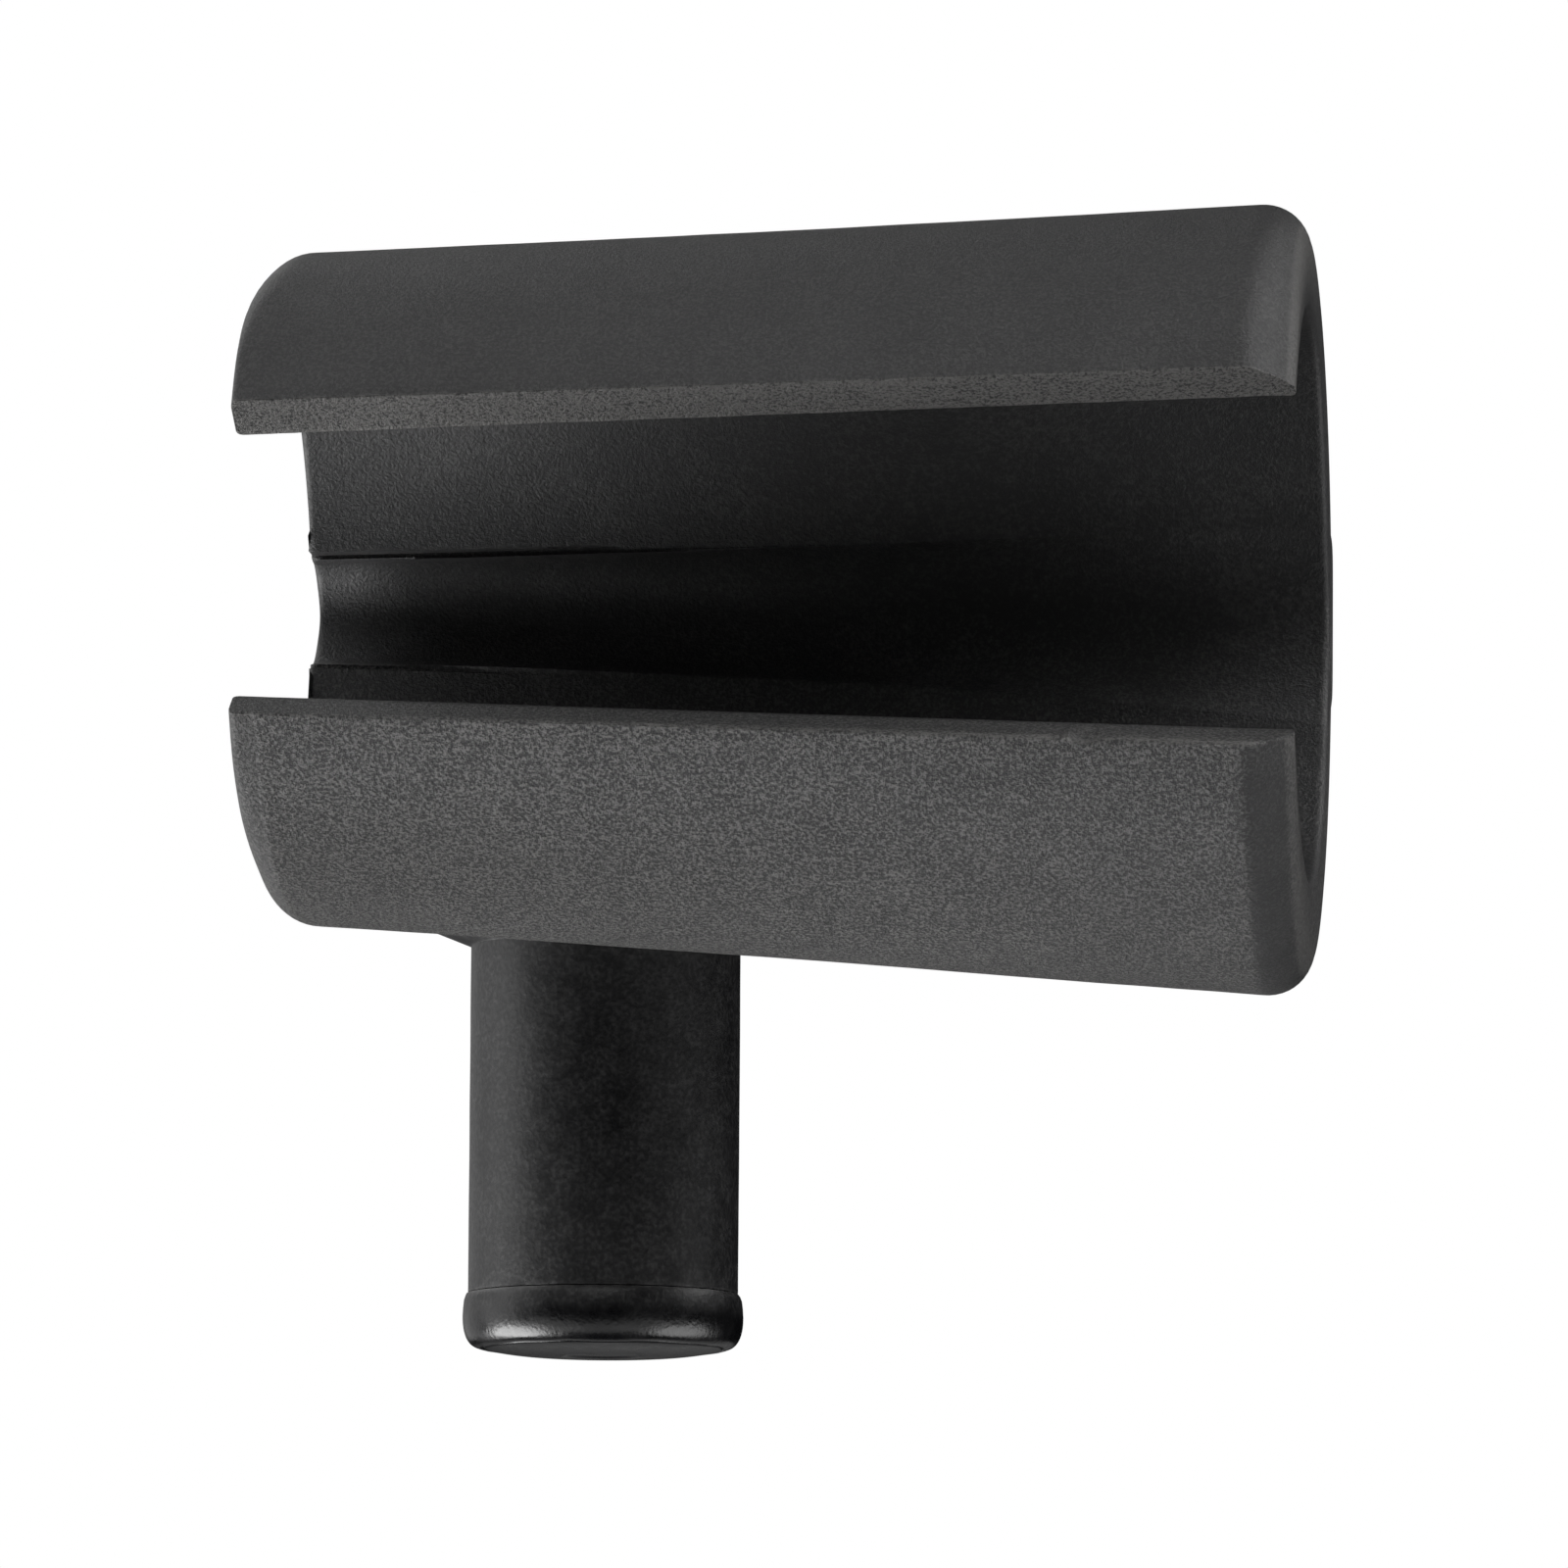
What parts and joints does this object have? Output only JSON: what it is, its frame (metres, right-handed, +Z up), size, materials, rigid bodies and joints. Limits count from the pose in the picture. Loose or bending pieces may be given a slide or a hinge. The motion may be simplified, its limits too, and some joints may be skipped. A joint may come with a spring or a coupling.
{
  "type": "swivel tube clip with spigot",
  "caption": "Tapered C-shaped sleeve that snaps over a round tube and swivels on a plain spigot with a rounded foot, for a socket on deck.",
  "frame": {"origin": "on the axis of the clipped tube, level with the spigot's axis along X", "axes": "+X along the tube towards the sleeve's large end, -Y out of the mouth, +Z up, with the spigot pointing down behind the tube"},
  "size_m": [0.0456, 0.0353, 0.0493],
  "materials": {
    "grained_nylon": "spark-eroded grain, satin, glass-filled nylon",
    "satin_nylon": "smooth satin with a faint mottle",
    "acetal": "smooth natural acetal",
    "bush_brass": "turned",
    "insert_brass": "turned and grooved",
    "stainless": "turned stainless steel"
  },
  "bodies": {
    "post": {"spigot": "satin_nylon", "foot_cap": "satin_nylon", "pivot_bush": "bush_brass", "thrust_washer": "acetal", "head_washer": "acetal"},
    "clip": {"jaw_sleeve": "grained_nylon", "thread_insert": "insert_brass", "pivot_screw": "stainless"}
  },
  "joints": [
    {"name": "clip_swivel", "type": "hinge", "parent": "post", "child": "clip", "pos_m": [0, 0.014, -0.0122], "axis": [0, 0, 1], "continuous": true}
  ]
}
